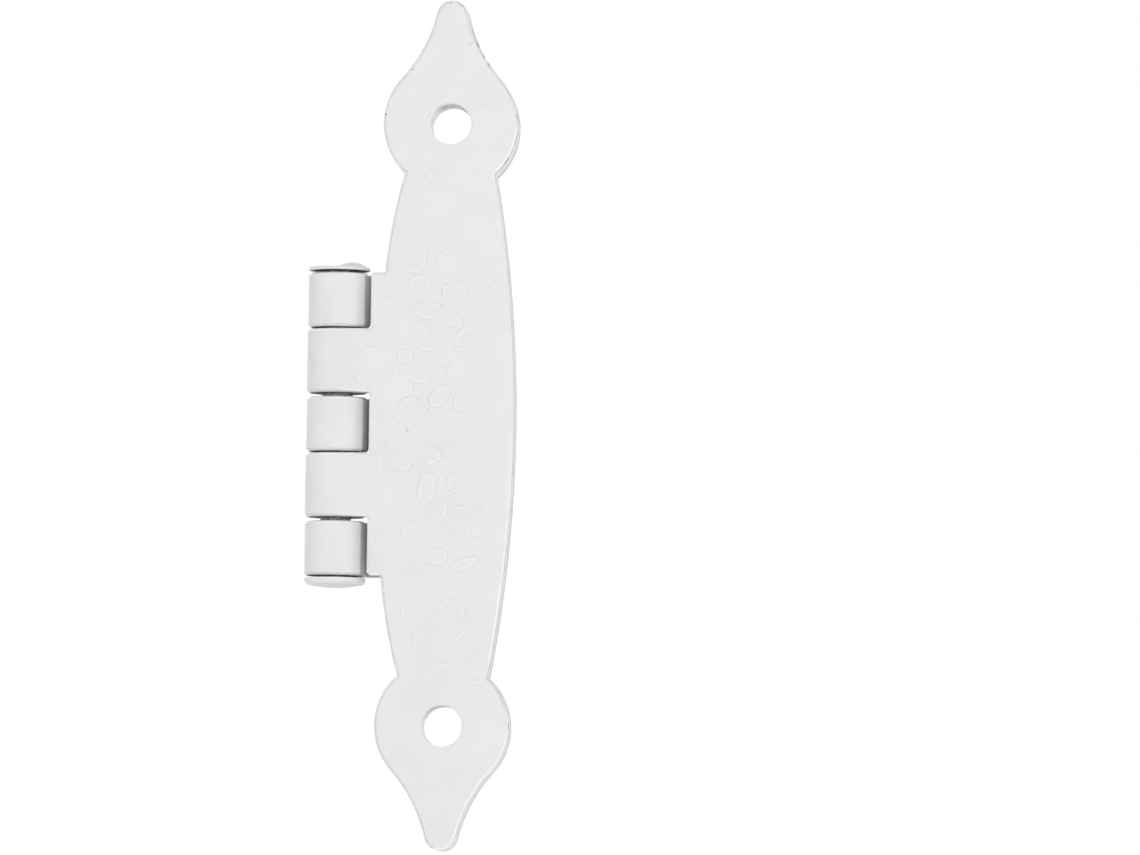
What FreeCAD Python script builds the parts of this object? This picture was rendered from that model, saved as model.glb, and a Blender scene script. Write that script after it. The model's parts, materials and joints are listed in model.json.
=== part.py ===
import FreeCAD, Part
import math
import os

import Sketcher

# Butterfly hinge, folded shut: two spear-ended leaves of one outline lie parallel and share a pin.
# Each leaf is one piece of sheet whose knuckles are rolled round the pin.
# X runs from the knuckles to the free edges, Y from the front leaf to the back leaf, Z up the pin.
# The origin is the middle of the back leaf's screw holes, on the face that lies on the mounting surface.

# Driving dimensions in millimetres
SIZES = {
    # spear-ended outline, the same on both leaves
    "hole_spacing": 63.0,
    "hole_diameter": 4.3,
    "spear_length": 12.95,
    "tip_radius": 1.6,
    "flank_radius": 16.0,
    "shoulder_radius": 7.0,
    "leaf_half_width": 7.05,
    "free_edge_radius": 149.0,
    "hinge_edge_offset": 8.05,
    "tab_step": 1.45,
    "hinge_side_radius": 60.0,
    # sheet and knuckles
    "sheet_thickness": 1.6,
    "back_knuckle_length": 5.7,
    "front_knuckle_length": 6.69,
    "knuckle_gap": 0.31,
    "front_knuckle_lift": 0.12,
    "notch_clearance": 0.3,
    "seam_gap": 0.25,
    "corner_round": 0.4,
    "edge_break": 0.3,
    # pin
    "pin_diameter": 3.2,
    "grip_clearance": 0.01,
    "running_clearance": 0.05,
    "rim_break": 0.1,
    "dome_clearance": 0.2,
    "dome_diameter": 6.4,
    "dome_rim": 0.62,
    "dome_rise": 0.42,
    "dome_break": 0.22,
    "peened_clearance": 0.27,
    "peened_diameter": 6.46,
    "peened_rim": 0.34,
    "peened_rise": 0.06,
    "bump_offset": 1.36,
    "bump_radius": 1.7,
    "bump_rise": 0.54,
}


def fill_sheet(document):
    """Puts the driving dimensions in the document's spreadsheet, one alias to a cell."""
    sheet = document.addObject("Spreadsheet::Sheet", "Sizes")
    for row, (name, value) in enumerate(SIZES.items(), start=1):
        sheet.set("A%d" % row, name)
        sheet.set("B%d" % row, str(value))
        sheet.setAlias("B%d" % row, name)
    # Sizes that follow from the driving ones
    derived = {
        "back_bore_radius": "=pin_diameter / 2 + grip_clearance",
        "front_bore_radius": "=pin_diameter / 2 + running_clearance",
        "back_barrel_radius": "=back_bore_radius + sheet_thickness",
        "front_barrel_radius": "=front_bore_radius + sheet_thickness",
        "axis_x": "=0 - hinge_edge_offset - notch_clearance - front_barrel_radius",
        "axis_y": "=0 - back_barrel_radius",
        "front_face_y": "=axis_y - front_barrel_radius",
        "knuckle_pitch": "=back_knuckle_length + front_knuckle_length + 2 * knuckle_gap",
        "row_half": "=knuckle_pitch + back_knuckle_length / 2",
    }
    for row, (name, formula) in enumerate(derived.items(), start=len(SIZES) + 2):
        sheet.set("A%d" % row, name)
        sheet.set("B%d" % row, formula)
        sheet.setAlias("B%d" % row, name)
    document.recompute()
    return sheet


# Slack when edges are told apart by where they lie
TOUCH = 1e-4

document = FreeCAD.newDocument("ButterflyHinge")
sizes = fill_sheet(document)


def size(name):
    """Current value of a cell."""
    return float(getattr(sizes, name))


def plane(body, role):
    """Origin plane or axis of a body, found by its role."""
    for feature in body.Origin.OriginFeatures:
        if feature.Role == role:
            return feature
    raise RuntimeError("no origin feature " + role)


def add_sketch(body, name, role, offset=None):
    """Sketch on an origin plane, raised along its normal by an expression in the sheet's cells."""
    sketch = body.newObject("Sketcher::SketchObject", name)
    sketch.AttachmentSupport = [(plane(body, role), "")]
    sketch.MapMode = "FlatFace"
    if offset:
        sketch.setExpression("AttachmentOffset.Base.z", offset)
    return sketch


def drive(sketch, name, expression, *constraint):
    """Adds a dimension to a sketch, names it and ties it to the sheet."""
    index = sketch.addConstraint(Sketcher.Constraint(*constraint))
    sketch.renameConstraint(index, name)
    sketch.setExpression("Constraints." + name, expression)


def point(x, y):
    return FreeCAD.Vector(x, y, 0)


def arc(centre, radius, start, end):
    """Arc about a centre between two points, drawn anticlockwise."""
    first = math.atan2(start.y - centre.y, start.x - centre.x)
    last = math.atan2(end.y - centre.y, end.x - centre.x)
    circle = Part.Circle(centre, FreeCAD.Vector(0, 0, 1), radius)
    return Part.ArcOfCircle(circle, first, last)


def neck_point():
    """Where the shoulder circle meets the bowed free edge, on the free side of the upper half."""
    bow = size("free_edge_radius")
    shoulder = size("shoulder_radius")
    bow_centre = point(size("leaf_half_width") - bow, 0)
    hole = point(0, size("hole_spacing") / 2)
    between = hole - bow_centre
    along = (bow ** 2 - shoulder ** 2 + between.Length ** 2) / (2 * between.Length)
    across = math.sqrt(bow ** 2 - along ** 2)
    unit = between / between.Length
    return bow_centre + unit * along + point(unit.y, -unit.x) * across


def flank_centre():
    """Centre of the hollow flank that touches the tip circle and the shoulder circle."""
    to_tip = size("flank_radius") + size("tip_radius")
    to_hole = size("flank_radius") + size("shoulder_radius")
    rise = size("spear_length") - size("tip_radius")
    up = (to_hole ** 2 - to_tip ** 2 + rise ** 2) / (2 * rise)
    return point(math.sqrt(to_hole ** 2 - up ** 2), size("hole_spacing") / 2 + up)


def draw_outline(sketch):
    """Upper half of a leaf: tip, hollow flanks, round shoulders, bowed edges and half the hinge edge."""
    hole_height = size("hole_spacing") / 2
    tip_centre = point(0, hole_height + size("spear_length") - size("tip_radius"))
    hole = point(0, hole_height)
    flank = flank_centre()
    flank_left = point(-flank.x, flank.y)
    tip_touch = tip_centre + (flank - tip_centre).normalize() * size("tip_radius")
    shoulder_touch = hole + (flank - hole).normalize() * size("shoulder_radius")
    tip_touch_left = point(-tip_touch.x, tip_touch.y)
    shoulder_touch_left = point(-shoulder_touch.x, shoulder_touch.y)
    neck = neck_point()
    neck_left = point(-neck.x, neck.y)
    bow_centre = point(size("leaf_half_width") - size("free_edge_radius"), 0)
    middle = point(size("leaf_half_width"), 0)
    hinge_foot = point(-size("hinge_edge_offset"), 0)
    hinge_corner = point(-size("hinge_edge_offset"), size("row_half"))
    tab_root = point(size("tab_step") - size("hinge_edge_offset"), size("row_half"))
    chord = neck_left - tab_root
    half = chord.Length / 2
    inward = point(chord.y, -chord.x).normalize()
    side_centre = tab_root + chord / 2 + inward * math.sqrt(size("hinge_side_radius") ** 2 - half ** 2)

    shapes = [
        arc(tip_centre, size("tip_radius"), tip_touch, tip_touch_left),
        arc(flank, size("flank_radius"), tip_touch, shoulder_touch),
        arc(hole, size("shoulder_radius"), neck, shoulder_touch),
        arc(bow_centre, size("free_edge_radius"), middle, neck),
        Part.LineSegment(middle, hinge_foot),
        Part.LineSegment(hinge_foot, hinge_corner),
        Part.LineSegment(hinge_corner, tab_root),
        arc(side_centre, size("hinge_side_radius"), neck_left, tab_root),
        arc(hole, size("shoulder_radius"), shoulder_touch_left, neck_left),
        arc(flank_left, size("flank_radius"), shoulder_touch_left, tip_touch_left),
    ]
    tip, flank_r, shoulder_r, free_edge, mid_line, hinge_edge, step, side, shoulder_l, flank_l = range(10)
    sketch.addGeometry(shapes, False)

    # Ends of a curve are 1 and 2, its centre is 3; axis -1 is horizontal and -2 vertical
    add = sketch.addConstraint
    add(Sketcher.Constraint("Tangent", tip, 1, flank_r, 1))
    add(Sketcher.Constraint("Tangent", flank_r, 2, shoulder_r, 2))
    add(Sketcher.Constraint("Coincident", shoulder_r, 1, free_edge, 2))
    add(Sketcher.Constraint("Coincident", free_edge, 1, mid_line, 1))
    add(Sketcher.Constraint("Coincident", mid_line, 2, hinge_edge, 1))
    add(Sketcher.Constraint("Coincident", hinge_edge, 2, step, 1))
    add(Sketcher.Constraint("Coincident", step, 2, side, 2))
    add(Sketcher.Constraint("Coincident", side, 1, shoulder_l, 2))
    add(Sketcher.Constraint("Tangent", shoulder_l, 1, flank_l, 1))
    add(Sketcher.Constraint("Tangent", flank_l, 2, tip, 2))
    add(Sketcher.Constraint("PointOnObject", tip, 3, -2))
    add(Sketcher.Constraint("PointOnObject", shoulder_r, 3, -2))
    add(Sketcher.Constraint("Coincident", shoulder_r, 3, shoulder_l, 3))
    add(Sketcher.Constraint("Equal", flank_r, flank_l))
    add(Sketcher.Constraint("PointOnObject", free_edge, 3, -1))
    add(Sketcher.Constraint("PointOnObject", free_edge, 1, -1))
    add(Sketcher.Constraint("PointOnObject", hinge_edge, 1, -1))
    add(Sketcher.Constraint("Vertical", hinge_edge))
    add(Sketcher.Constraint("Horizontal", step))
    add(Sketcher.Constraint("Symmetric", shoulder_r, 1, shoulder_l, 2, -2))
    drive(sketch, "tip_radius", "Sizes.tip_radius", "Radius", tip, size("tip_radius"))
    drive(sketch, "flank_radius", "Sizes.flank_radius", "Radius", flank_r, size("flank_radius"))
    drive(sketch, "shoulder_radius", "Sizes.shoulder_radius", "Radius", shoulder_r, size("shoulder_radius"))
    drive(sketch, "free_radius", "Sizes.free_edge_radius", "Radius", free_edge, size("free_edge_radius"))
    drive(sketch, "side_radius", "Sizes.hinge_side_radius", "Radius", side, size("hinge_side_radius"))
    drive(sketch, "hole_height", "Sizes.hole_spacing / 2", "DistanceY", -1, 1, shoulder_r, 3, hole_height)
    drive(sketch, "tip_height", "Sizes.hole_spacing / 2 + Sizes.spear_length - Sizes.tip_radius",
          "DistanceY", -1, 1, tip, 3, tip_centre.y)
    drive(sketch, "half_width", "Sizes.leaf_half_width", "DistanceX", -1, 1, free_edge, 1, middle.x)
    drive(sketch, "hinge_offset", "Sizes.hinge_edge_offset", "DistanceX", hinge_edge, 1, -1, 1, -hinge_foot.x)
    drive(sketch, "row_half", "Sizes.row_half", "DistanceY", -1, 1, hinge_edge, 2, hinge_corner.y)
    drive(sketch, "tab_step", "Sizes.tab_step", "DistanceX", step, 1, step, 2, size("tab_step"))


def draw_knuckle(sketch, side, bore, barrel):
    """Section of a knuckle: a tongue of the sheet, rolled round the pin until it nearly meets itself.

    side is 1 where the sheet lies behind the pin and -1 where it lies in front.
    """
    centre = point(size("axis_x"), size("axis_y"))
    root = size("sheet_thickness") - size("hinge_edge_offset")
    bore_radius = size(bore)
    barrel_radius = size(barrel)
    end = side * math.asin((bore_radius - size("seam_gap")) / barrel_radius)
    lip = point(math.cos(end), math.sin(end))
    outer_root = point(root, centre.y + side * barrel_radius)
    outer_top = point(centre.x, outer_root.y)
    inner_root = point(root, centre.y + side * bore_radius)
    inner_top = point(centre.x, inner_root.y)
    outer_end = centre + lip * barrel_radius
    inner_end = centre + lip * bore_radius
    if side > 0:
        outer_roll = arc(centre, barrel_radius, outer_top, outer_end)
        inner_roll = arc(centre, bore_radius, inner_top, inner_end)
        top, tail = 1, 2
    else:
        outer_roll = arc(centre, barrel_radius, outer_end, outer_top)
        inner_roll = arc(centre, bore_radius, inner_end, inner_top)
        top, tail = 2, 1
    shapes = [
        Part.LineSegment(outer_root, outer_top),
        outer_roll,
        Part.LineSegment(outer_end, inner_end),
        inner_roll,
        Part.LineSegment(inner_top, inner_root),
        Part.LineSegment(inner_root, outer_root),
    ]
    outer_face, outer, lip_face, inner, inner_face, root_line = range(6)
    sketch.addGeometry(shapes, False)
    add = sketch.addConstraint
    add(Sketcher.Constraint("Tangent", outer_face, 2, outer, top))
    add(Sketcher.Constraint("Coincident", outer, tail, lip_face, 1))
    add(Sketcher.Constraint("Coincident", lip_face, 2, inner, tail))
    add(Sketcher.Constraint("Tangent", inner, top, inner_face, 1))
    add(Sketcher.Constraint("Coincident", inner_face, 2, root_line, 1))
    add(Sketcher.Constraint("Coincident", root_line, 2, outer_face, 1))
    add(Sketcher.Constraint("Coincident", outer, 3, inner, 3))
    add(Sketcher.Constraint("PointOnObject", outer, 3, lip_face))
    add(Sketcher.Constraint("Horizontal", outer_face))
    add(Sketcher.Constraint("Horizontal", inner_face))
    add(Sketcher.Constraint("Vertical", root_line))
    drive(sketch, "barrel_radius", "Sizes." + barrel, "Radius", outer, barrel_radius)
    drive(sketch, "bore_radius", "Sizes." + bore, "Radius", inner, bore_radius)
    drive(sketch, "axis_offset", "-Sizes.axis_x", "DistanceX", outer, 3, -1, 1, -centre.x)
    drive(sketch, "axis_depth", "-Sizes.axis_y", "DistanceY", outer, 3, -1, 1, -centre.y)
    drive(sketch, "root_offset", "Sizes.hinge_edge_offset - Sizes.sheet_thickness",
          "DistanceX", root_line, 1, -1, 1, -root)
    ends = (outer, tail, inner_face, 1) if side > 0 else (inner_face, 1, outer, tail)
    drive(sketch, "seam", "Sizes.seam_gap", "DistanceY", *ends, size("seam_gap"))


def draw_holes(sketch):
    """The two screw holes, level with the round shoulders."""
    radius = size("hole_diameter") / 2
    height = size("hole_spacing") / 2
    normal = FreeCAD.Vector(0, 0, 1)
    sketch.addGeometry([Part.Circle(point(0, sign * height), normal, radius) for sign in (1, -1)], False)
    add = sketch.addConstraint
    add(Sketcher.Constraint("PointOnObject", 0, 3, -2))
    add(Sketcher.Constraint("Equal", 0, 1))
    add(Sketcher.Constraint("Symmetric", 0, 3, 1, 3, -1, 1))
    drive(sketch, "hole_diameter", "Sizes.hole_diameter", "Diameter", 0, 2 * radius)
    drive(sketch, "hole_spacing", "Sizes.hole_spacing", "DistanceY", 1, 3, 0, 3, 2 * height)


def corner_edges(shape):
    """Names of the edges through the sheet at the corners of the knuckle row and its notches."""
    names = []
    for index, edge in enumerate(shape.Edges, start=1):
        box = edge.BoundBox
        through = box.XLength < TOUCH and box.ZLength < TOUCH
        beside_row = max(abs(box.ZMin), abs(box.ZMax)) < size("row_half") + TOUCH
        if through and beside_row and box.XMax < 0:
            names.append("Edge%d" % index)
    return names


def exposed_edges(shape, face_y, inner_y, barrel_radius):
    """Names of the edges to break: the outline and holes on both faces, and the ends of the rolls."""
    names = []
    axis_x = size("axis_x")
    for index, edge in enumerate(shape.Edges, start=1):
        box = edge.BoundBox
        flat = box.YLength < TOUCH
        level = box.ZLength < TOUCH
        middle = edge.valueAt((edge.FirstParameter + edge.LastParameter) / 2)
        reach = math.hypot(middle.x - axis_x, middle.y - size("axis_y"))
        on_sheet = min(abs(box.YMin - face_y), abs(box.YMin - inner_y)) < TOUCH
        beyond_roll = box.XMax > axis_x + TOUCH
        on_roll = level and not flat and abs(reach - barrel_radius) < TOUCH
        if on_roll or (flat and on_sheet and beyond_roll):
            names.append("Edge%d" % index)
    return names


def build_leaf(name, side, bore, barrel, first_knuckle, count, length):
    """One leaf: half the outline padded and mirrored, knuckles padded and repeated, holes cut, edges broken."""
    body = document.addObject("PartDesign::Body", name)
    body.Label = name
    inner_offset = "0" if side > 0 else "-Sizes.front_face_y - Sizes.sheet_thickness"

    outline = add_sketch(body, name + "_outline", "XZ_Plane", inner_offset)
    draw_outline(outline)
    plate = body.newObject("PartDesign::Pad", name + "_plate")
    plate.Profile = outline
    plate.setExpression("Length", "Sizes.sheet_thickness")
    document.recompute()

    mirror = body.newObject("PartDesign::Mirrored", name + "_mirror")
    mirror.Originals = [plate]
    mirror.MirrorPlane = (plane(body, "XY_Plane"), [""])
    body.Tip = mirror
    document.recompute()

    section = add_sketch(body, name + "_knuckle_section", "XY_Plane", first_knuckle)
    draw_knuckle(section, side, bore, barrel)
    knuckle = body.newObject("PartDesign::Pad", name + "_knuckle")
    knuckle.Profile = section
    knuckle.setExpression("Length", "Sizes." + length)
    document.recompute()

    row = body.newObject("PartDesign::LinearPattern", name + "_knuckles")
    row.Originals = [knuckle]
    row.Direction = (plane(body, "Z_Axis"), [""])
    row.Reversed = True
    row.Occurrences = count
    row.setExpression("Length", "Sizes.knuckle_pitch * %d" % (count - 1))
    body.Tip = row
    document.recompute()

    circles = add_sketch(body, name + "_hole_circles", "XZ_Plane", inner_offset)
    draw_holes(circles)
    holes = body.newObject("PartDesign::Pocket", name + "_holes")
    holes.Profile = circles
    holes.Type = "ThroughAll"
    holes.Midplane = True
    document.recompute()
    cut = row.Shape.Volume - holes.Shape.Volume
    wanted = 2 * math.pi * (size("hole_diameter") / 2) ** 2 * size("sheet_thickness")
    if abs(cut - wanted) > 0.01 * wanted:
        raise RuntimeError("screw holes not cut in " + name)

    face_y = 0.0 if side > 0 else size("front_face_y")
    inner_y = face_y - side * size("sheet_thickness")
    corners = body.newObject("PartDesign::Fillet", name + "_corners")
    corners.Base = (holes, corner_edges(holes.Shape))
    corners.setExpression("Radius", "Sizes.corner_round")
    document.recompute()
    broken = body.newObject("PartDesign::Chamfer", name + "_edges")
    broken.Base = (corners, exposed_edges(corners.Shape, face_y, inner_y, size(barrel)))
    broken.setExpression("Size", "Sizes.edge_break")
    document.recompute()
    return body


def draw_pin(sketch):
    """Half the pin's section: low domed head below, straight shank, flattened peened head above."""
    shank = size("pin_diameter") / 2
    lower_seat = -size("row_half") - size("dome_clearance")
    upper_seat = size("row_half") + size("peened_clearance")
    dome = size("dome_diameter") / 2
    rise = size("dome_rise")
    dome_radius = (dome ** 2 + rise ** 2) / (2 * rise)
    peened = size("peened_diameter") / 2
    crown = size("peened_rise")
    crown_radius = (peened ** 2 + crown ** 2) / (2 * crown)
    dome_foot = lower_seat - size("dome_rim")
    peened_foot = upper_seat + size("peened_rim")
    bottom = point(0, dome_foot - rise)
    top = point(0, peened_foot + crown)
    corners = [
        top,
        bottom,
        point(dome, dome_foot),
        point(dome, lower_seat),
        point(shank, lower_seat),
        point(shank, upper_seat),
        point(peened, upper_seat),
        point(peened, peened_foot),
    ]
    shapes = [
        Part.LineSegment(corners[0], corners[1]),
        arc(point(0, bottom.y + dome_radius), dome_radius, corners[1], corners[2]),
        Part.LineSegment(corners[2], corners[3]),
        Part.LineSegment(corners[3], corners[4]),
        Part.LineSegment(corners[4], corners[5]),
        Part.LineSegment(corners[5], corners[6]),
        Part.LineSegment(corners[6], corners[7]),
        arc(point(0, top.y - crown_radius), crown_radius, corners[7], corners[0]),
    ]
    axis, dome_arc, dome_rim, dome_seat, wall, peened_seat, rim, crown_arc = range(8)
    sketch.addGeometry(shapes, False)
    add = sketch.addConstraint
    for first, last in zip(range(8), list(range(1, 8)) + [0]):
        add(Sketcher.Constraint("Coincident", first, 2, last, 1))
    add(Sketcher.Constraint("PointOnObject", axis, 1, -2))
    add(Sketcher.Constraint("PointOnObject", axis, 2, -2))
    add(Sketcher.Constraint("PointOnObject", dome_arc, 3, -2))
    add(Sketcher.Constraint("PointOnObject", crown_arc, 3, -2))
    for upright in (dome_rim, wall, rim):
        add(Sketcher.Constraint("Vertical", upright))
    for level in (dome_seat, peened_seat):
        add(Sketcher.Constraint("Horizontal", level))
    drive(sketch, "shank", "Sizes.pin_diameter / 2", "DistanceX", -1, 1, wall, 1, shank)
    drive(sketch, "dome", "Sizes.dome_diameter / 2", "DistanceX", -1, 1, dome_rim, 1, dome)
    drive(sketch, "peened", "Sizes.peened_diameter / 2", "DistanceX", -1, 1, rim, 1, peened)
    drive(sketch, "lower_seat", "Sizes.row_half + Sizes.dome_clearance",
          "DistanceY", wall, 1, -1, 1, -lower_seat)
    drive(sketch, "upper_seat", "Sizes.row_half + Sizes.peened_clearance",
          "DistanceY", -1, 1, wall, 2, upper_seat)
    drive(sketch, "dome_rim", "Sizes.dome_rim", "DistanceY", dome_rim, 1, dome_rim, 2, size("dome_rim"))
    drive(sketch, "dome_rise", "Sizes.dome_rise", "DistanceY", dome_arc, 1, dome_arc, 2, rise)
    drive(sketch, "peened_rim", "Sizes.peened_rim", "DistanceY", rim, 1, rim, 2, size("peened_rim"))
    drive(sketch, "peened_rise", "Sizes.peened_rise", "DistanceY", crown_arc, 1, crown_arc, 2, crown)


def draw_bump(sketch):
    """Half the section of the low bump that the peening left beside the middle of the head."""
    radius = size("bump_radius")
    rise = size("bump_rise")
    foot = size("row_half") + size("peened_clearance") + size("peened_rim")
    tall = size("peened_rise") + rise
    bend = (radius ** 2 + tall ** 2) / (2 * tall)
    base = point(0, foot)
    edge = point(radius, foot)
    top = point(0, foot + tall)
    shapes = [
        Part.LineSegment(top, base),
        Part.LineSegment(base, edge),
        arc(point(0, top.y - bend), bend, edge, top),
    ]
    axis, floor, cap = range(3)
    sketch.addGeometry(shapes, False)
    add = sketch.addConstraint
    add(Sketcher.Constraint("Coincident", axis, 2, floor, 1))
    add(Sketcher.Constraint("Coincident", floor, 2, cap, 1))
    add(Sketcher.Constraint("Coincident", cap, 2, axis, 1))
    add(Sketcher.Constraint("PointOnObject", axis, 1, -2))
    add(Sketcher.Constraint("PointOnObject", axis, 2, -2))
    add(Sketcher.Constraint("PointOnObject", cap, 3, -2))
    add(Sketcher.Constraint("Horizontal", floor))
    drive(sketch, "bump_radius", "Sizes.bump_radius", "DistanceX", -1, 1, floor, 2, radius)
    drive(sketch, "bump_foot", "Sizes.row_half + Sizes.peened_clearance + Sizes.peened_rim",
          "DistanceY", -1, 1, floor, 1, foot)
    drive(sketch, "bump_rise", "Sizes.peened_rise + Sizes.bump_rise", "DistanceY", cap, 1, cap, 2, tall)


def rim_edges(shape, wanted):
    """Names of the edges round the two heads at the heights that are wanted."""
    names = []
    widest = (size("dome_diameter") / 2, size("peened_diameter") / 2)
    for index, edge in enumerate(shape.Edges, start=1):
        box = edge.BoundBox
        on_rim = min(abs(box.XMax - reach) for reach in widest) < TOUCH
        if box.ZLength < TOUCH and on_rim and wanted(box.ZMin):
            names.append("Edge%d" % index)
    return names


def build_pin():
    """The pin: turned about its own axis, with the off-centre bump of its peened end."""
    body = document.addObject("PartDesign::Body", "hinge_pin")
    body.Label = "hinge_pin"
    section = add_sketch(body, "pin_section", "XZ_Plane")
    draw_pin(section)
    turned = body.newObject("PartDesign::Revolution", "pin_turned")
    turned.Profile = section
    turned.ReferenceAxis = (section, ["V_Axis"])
    turned.Angle = 360.0
    document.recompute()

    bump_section = add_sketch(body, "bump_section", "XZ_Plane")
    bump_section.setExpression("AttachmentOffset.Base.x", "Sizes.bump_offset")
    draw_bump(bump_section)
    bump = body.newObject("PartDesign::Revolution", "pin_bump")
    bump.Profile = bump_section
    bump.ReferenceAxis = (bump_section, ["V_Axis"])
    bump.Angle = 360.0
    document.recompute()

    dome_foot = -size("row_half") - size("dome_clearance") - size("dome_rim")
    foot_edges = rim_edges(bump.Shape, lambda height: abs(height - dome_foot) < TOUCH)
    eased = body.newObject("PartDesign::Chamfer", "pin_dome_foot")
    eased.Base = (bump, foot_edges)
    eased.setExpression("Size", "Sizes.dome_break")
    document.recompute()
    other_edges = rim_edges(eased.Shape, lambda height: height > dome_foot + size("dome_break") + TOUCH)
    broken = body.newObject("PartDesign::Chamfer", "pin_rims")
    broken.Base = (eased, other_edges)
    broken.setExpression("Size", "Sizes.rim_break")
    body.setExpression("Placement.Base.x", "Sizes.axis_x")
    body.setExpression("Placement.Base.y", "Sizes.axis_y")
    document.recompute()
    return body


back_leaf = build_leaf("back_leaf", 1, "back_bore_radius", "back_barrel_radius",
                       "Sizes.row_half - Sizes.back_knuckle_length", 3, "back_knuckle_length")
front_leaf = build_leaf("front_leaf", -1, "front_bore_radius", "front_barrel_radius",
                        "(Sizes.knuckle_pitch - Sizes.front_knuckle_length) / 2 + Sizes.front_knuckle_lift",
                        2, "front_knuckle_length")
hinge_pin = build_pin()
document.recompute()

for item in document.Objects:
    if "Invalid" in item.State or "Error" in item.State:
        raise RuntimeError("failed: " + item.Name + " " + str(item.State))
pieces = [front_leaf, back_leaf, hinge_pin]
for piece in pieces:
    if piece.Shape.isNull() or not piece.Shape.isValid() or len(piece.Shape.Solids) != 1:
        raise RuntimeError("bad shape: " + piece.Label)

os.makedirs("parts", exist_ok=True)
for piece in pieces:
    piece.Shape.exportStep("parts/" + piece.Label + ".step")
    box = piece.Shape.BoundBox
    print(piece.Label, round(piece.Shape.Volume, 3), [round(v, 3) for v in
          (box.XMin, box.XMax, box.YMin, box.YMax, box.ZMin, box.ZMax)])
print("ok")
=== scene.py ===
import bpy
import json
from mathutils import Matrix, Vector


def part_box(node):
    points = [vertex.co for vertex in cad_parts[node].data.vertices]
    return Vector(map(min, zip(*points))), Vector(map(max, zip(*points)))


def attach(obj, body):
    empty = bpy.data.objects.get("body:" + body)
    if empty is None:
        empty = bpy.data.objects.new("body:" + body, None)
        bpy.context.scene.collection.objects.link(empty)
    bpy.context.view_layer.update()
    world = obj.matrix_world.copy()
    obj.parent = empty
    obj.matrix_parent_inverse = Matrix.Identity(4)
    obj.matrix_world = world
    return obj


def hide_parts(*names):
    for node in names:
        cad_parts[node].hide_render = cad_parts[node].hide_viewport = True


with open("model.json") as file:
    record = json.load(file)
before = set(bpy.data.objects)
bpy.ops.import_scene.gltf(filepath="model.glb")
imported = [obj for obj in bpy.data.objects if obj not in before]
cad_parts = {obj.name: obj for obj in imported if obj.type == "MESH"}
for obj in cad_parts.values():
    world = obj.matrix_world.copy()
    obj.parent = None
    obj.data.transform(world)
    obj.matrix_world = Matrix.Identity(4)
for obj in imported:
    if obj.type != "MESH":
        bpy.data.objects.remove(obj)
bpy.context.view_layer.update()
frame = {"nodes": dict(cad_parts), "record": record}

import json
import math

import bpy
import numpy as np
from bpy.props import FloatProperty, FloatVectorProperty, PointerProperty
from mathutils import Matrix, Vector

bl_info = {
    "name": "Butterfly Hinge",
    "version": (1, 0, 0),
    "blender": (4, 5, 0),
    "location": "View3D > Sidebar > Hinge",
    "description": "Dresses a small folded butterfly hinge in hammered white paint and lights it",
    "category": "Object",
}

MM = 0.001
WHITE = (1.0, 1.0, 1.0, 1.0)

# The photograph's frame, and where the middle of the hinge and of the front leaf's face are in it
PHOTO_WIDTH = 1140
PHOTO_CENTRE = (570.0, 427.5)
PIXELS_PER_MM = 9.55
HINGE_PIXEL = (447.7, 426.2)
FACE_MIDDLE = (445.9, 424.3)

# How far the hinge leans in the photograph, as a slope
LEAN = 0.016

# The leaves' sheet, and half the height of the row of five knuckles
SHEET = 1.6 * MM
ROW_HALF = 16.2 * MM

# Reach from the pin's axis of the bores, of the knuckles' broken rims and of the rolls
BORE_REACH = 1.9 * MM
RIM_REACH = (2.9 * MM, 3.3 * MM)
ROLL_REACH = 3.5 * MM

# How far right of the axis the sheet is flat, and where the notches beside the knuckles end
FLAT_FROM = 0.5 * MM
NOTCH_END = -7.6 * MM

# How deep below the outer face its broken edge reaches, and how wide a screw hole's broken rim is
BROKEN_REACH = 0.35 * MM
HOLE_RIM = 0.4 * MM

# Where the hammered pattern starts beside the knuckles on the outer and on the inner face:
# the cutter's edge, where the pattern begins and where it is all there
OUTER_START = (-11.2 * MM, -10.4 * MM, -8.2 * MM)
INNER_START = (-8.1 * MM, -8.0 * MM, -6.6 * MM)

# How far the cutter reaches past the leaf, how high it starts above the face, its least depth where
# the pattern is nearly all there, and how few new faces would mean that it cut nothing
CUTTER_OVERHANG = 0.4 * MM
CUTTER_START = 0.012 * MM
CUTTER_LEAST = 0.003 * MM
NEARLY_ALL = 0.6
LEAST_NEW_FACES = 1000

# The hammer marks: over what length an outline fades at its ends, the length and strength of the waves
# in it, how many rims wide its relief is, and the highest lip as a share of the usual one
MARK_TAPER = 0.3 * MM
WAVE_LENGTH = 1.7 * MM
WAVE_STRENGTH = 0.45
RELIEF_RIMS = 4
LIP_MOST = 1.2

# How far from an outline the cutter's faces are halved, in rims and in faces
FINE_RIMS = 2.2
FINE_FACES = 0.55

# Smallest size in a division, slack round the ring of the broken edge, and how near points are merged
TINY = 1e-6
RING_SLACK = 0.004 * MM
MERGE_DISTANCE = 0.001 * MM

# Angles in degrees up to which a piece is shaded smooth and from which the pin is rounded, and by how much
SMOOTH_ANGLE = 50
PIN_ANGLE = 25
PIN_ROUNDING = 0.07 * MM

# Parts of a face's normal: across the sheet at most on a wall and on a broken edge, and upright at least
# on a level face and on a knuckle's broken rim
WALL_MOST = 0.3
BROKEN_MOST = 0.95
LEVEL_LEAST = 0.9
RIM_LEAST = 0.3

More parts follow.
